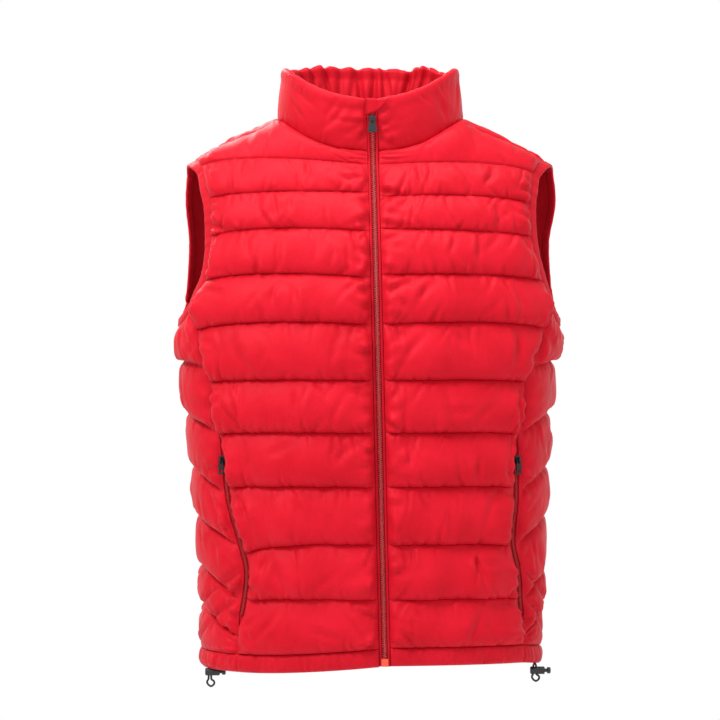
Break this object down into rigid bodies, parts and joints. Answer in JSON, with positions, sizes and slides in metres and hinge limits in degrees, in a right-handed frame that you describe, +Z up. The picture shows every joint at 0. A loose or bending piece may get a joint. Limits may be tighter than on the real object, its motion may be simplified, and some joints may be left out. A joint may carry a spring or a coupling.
{
  "type": "puffer vest",
  "caption": "Red quilted padded vest with stand collar, front zip, two zipped side pockets and a hem cord, worn shape and hollow.",
  "frame": {"origin": "centre of the neck hole at the height of the shoulder points, where a wearer's shoulders carry the vest", "axes": "+Z up the body towards the collar, front facing -Y, the wearer's left to +X"},
  "size_m": [0.4932, 0.2631, 0.7888],
  "materials": {
    "red_cloth": "satin",
    "red_zip_tape": "matte",
    "dark_zip_metal": "satin",
    "black_plastic": "matte",
    "black_cord": "matte",
    "red_plastic": "gloss"
  },
  "bodies": {
    "vest": {"armhole_binding_left": "red_cloth", "armhole_binding_right": "red_cloth", "back": "red_cloth", "collar": "red_cloth", "front_left": "red_cloth", "front_right": "red_cloth", "hem_back": "red_cloth", "hem_cord_left": "black_cord", "hem_cord_right": "black_cord", "hem_front_left": "red_cloth", "hem_front_right": "red_cloth", "hem_side_left": "red_cloth", "hem_side_right": "red_cloth", "lock_barrel_left": "black_plastic", "lock_barrel_right": "black_plastic", "pocket_slider_left": "dark_zip_metal", "pocket_slider_right": "dark_zip_metal", "pocket_zip_left": "red_zip_tape", "pocket_zip_right": "red_zip_tape", "side_left": "red_cloth", "side_right": "red_cloth", "zip_chain": "red_zip_tape", "zip_garage": "red_cloth", "zip_retainer": "red_plastic", "zip_slider": "dark_zip_metal", "zip_tape_left": "red_zip_tape", "zip_tape_right": "red_zip_tape"},
    "main_pull": {"zip_pull": "dark_zip_metal"},
    "pocket_pull_right_body": {"pocket_pull_right": "dark_zip_metal"},
    "pocket_pull_left_body": {"pocket_pull_left": "dark_zip_metal"},
    "plunger_right_body": {"lock_plunger_right": "black_plastic"},
    "plunger_left_body": {"lock_plunger_left": "black_plastic"}
  },
  "joints": [
    {"name": "main_pull_swing", "type": "hinge", "parent": "vest", "child": "main_pull", "pos_m": [0.00253, -0.0781, -0.0095], "axis": [-1, 0, 0], "range_deg": [0, 150]},
    {"name": "pocket_pull_right_swing", "type": "hinge", "parent": "vest", "child": "pocket_pull_right_body", "pos_m": [-0.18381, -0.08868, -0.43], "axis": [-0.8174, 0.5761, 0], "range_deg": [0, 150]},
    {"name": "pocket_pull_left_swing", "type": "hinge", "parent": "vest", "child": "pocket_pull_left_body", "pos_m": [0.18291, -0.08862, -0.43], "axis": [-0.8156, -0.5787, 0], "range_deg": [0, 150]},
    {"name": "plunger_right_press", "type": "slide", "parent": "vest", "child": "plunger_right_body", "axis": [-1, 0, 0], "range_m": [0, 0.0025], "stiffness_N_per_m": 300},
    {"name": "plunger_left_press", "type": "slide", "parent": "vest", "child": "plunger_left_body", "axis": [-1, 0, 0], "range_m": [0, 0.0025], "stiffness_N_per_m": 300}
  ]
}
